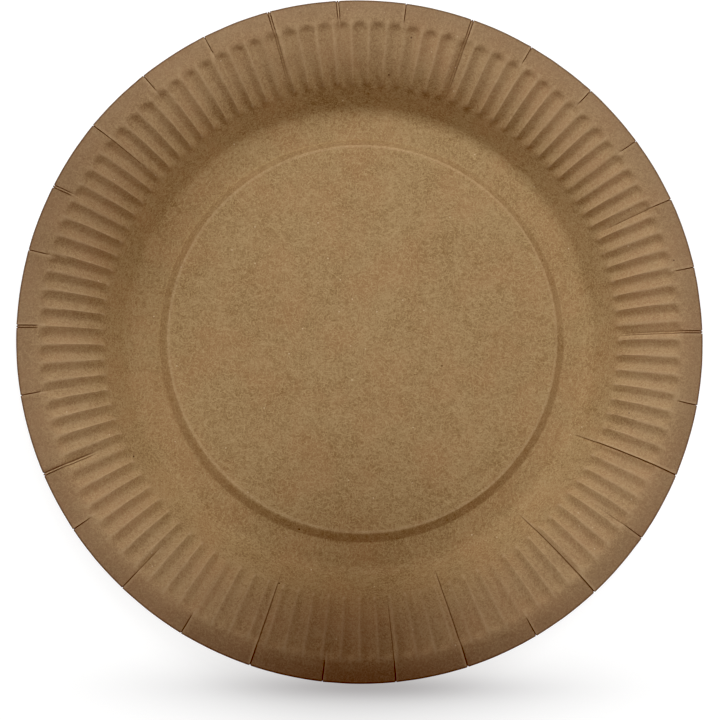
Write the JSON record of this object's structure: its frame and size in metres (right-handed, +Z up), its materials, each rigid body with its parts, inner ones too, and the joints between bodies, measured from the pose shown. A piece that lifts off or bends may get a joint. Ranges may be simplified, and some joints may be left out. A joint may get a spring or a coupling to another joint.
{
  "type": "paper plate",
  "caption": "Round pressed paperboard plate with a raised flat middle, a fluted sloping wall and a plain rim with fine pleats.",
  "frame": {"origin": "centre of the plate, on the surface that it stands on", "axes": "+Z up, out of the well; +X through one ridge and one pleat"},
  "size_m": [0.2298, 0.2298, 0.0179],
  "materials": {
    "kraft_board": "matt, uncoated brown board"
  },
  "bodies": {
    "root": {"plate": "kraft_board"}
  },
  "joints": []
}
